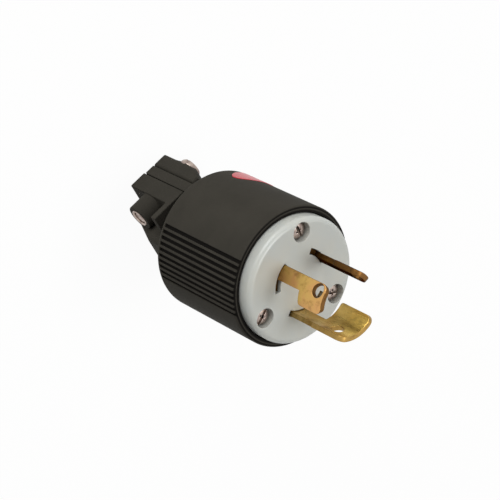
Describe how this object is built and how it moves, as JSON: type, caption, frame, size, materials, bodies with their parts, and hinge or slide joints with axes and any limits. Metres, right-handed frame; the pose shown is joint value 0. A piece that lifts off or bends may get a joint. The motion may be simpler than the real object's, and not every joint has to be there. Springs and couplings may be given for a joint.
{
  "type": "locking power plug",
  "caption": "Round industrial twist-lock plug: black ribbed housing with a screwed cord clamp, pale nylon face and curved brass locking blades.",
  "frame": {"origin": "centre of the pale front face, on the plug's axis", "axes": "+Z along the plug's axis towards the tips of the blades, up as the plug stands on the end of its clamp; +Y towards the first face screw, opposite the widest blade"},
  "size_m": [0.0396, 0.0396, 0.0806],
  "materials": {
    "white_nylon": "moulded white nylon, satin",
    "grey_moulding": "moulded grey thermoset, matt",
    "black_nylon": "moulded black nylon, satin",
    "red_badge": "bare red badge, satin",
    "seal_rubber": "soft black rubber",
    "blade_brass": "stamped yellow brass, bright",
    "terminal_steel": "zinc-plated steel",
    "brass_screw": "turned brass",
    "silver_screw": "nickel-plated, bright",
    "green_screw": "green-coloured terminal screw",
    "steel_screw": "zinc-plated steel, bright",
    "brass_insert": "turned brass",
    "steel_insert": "zinc-plated steel"
  },
  "bodies": {
    "root": {"front_body": "white_nylon", "terminal_block": "grey_moulding", "shell": "black_nylon", "clamp_half_1": "black_nylon", "clamp_half_2": "black_nylon", "badge": "red_badge", "dust_seal": "seal_rubber", "hot_blade": "blade_brass", "hot_pressure_plate": "terminal_steel", "neutral_blade": "blade_brass", "neutral_pressure_plate": "terminal_steel", "ground_blade": "blade_brass", "ground_pressure_plate": "terminal_steel", "hot_terminal_screw": "brass_screw", "neutral_terminal_screw": "silver_screw", "ground_terminal_screw": "green_screw", "assembly_screw_1": "steel_screw", "shell_insert_1": "brass_insert", "assembly_screw_2": "steel_screw", "shell_insert_2": "brass_insert", "assembly_screw_3": "steel_screw", "shell_insert_3": "brass_insert", "clamp_screw_1": "steel_screw", "clamp_insert_1": "steel_insert", "clamp_screw_2": "steel_screw", "clamp_insert_2": "steel_insert"}
  },
  "joints": []
}
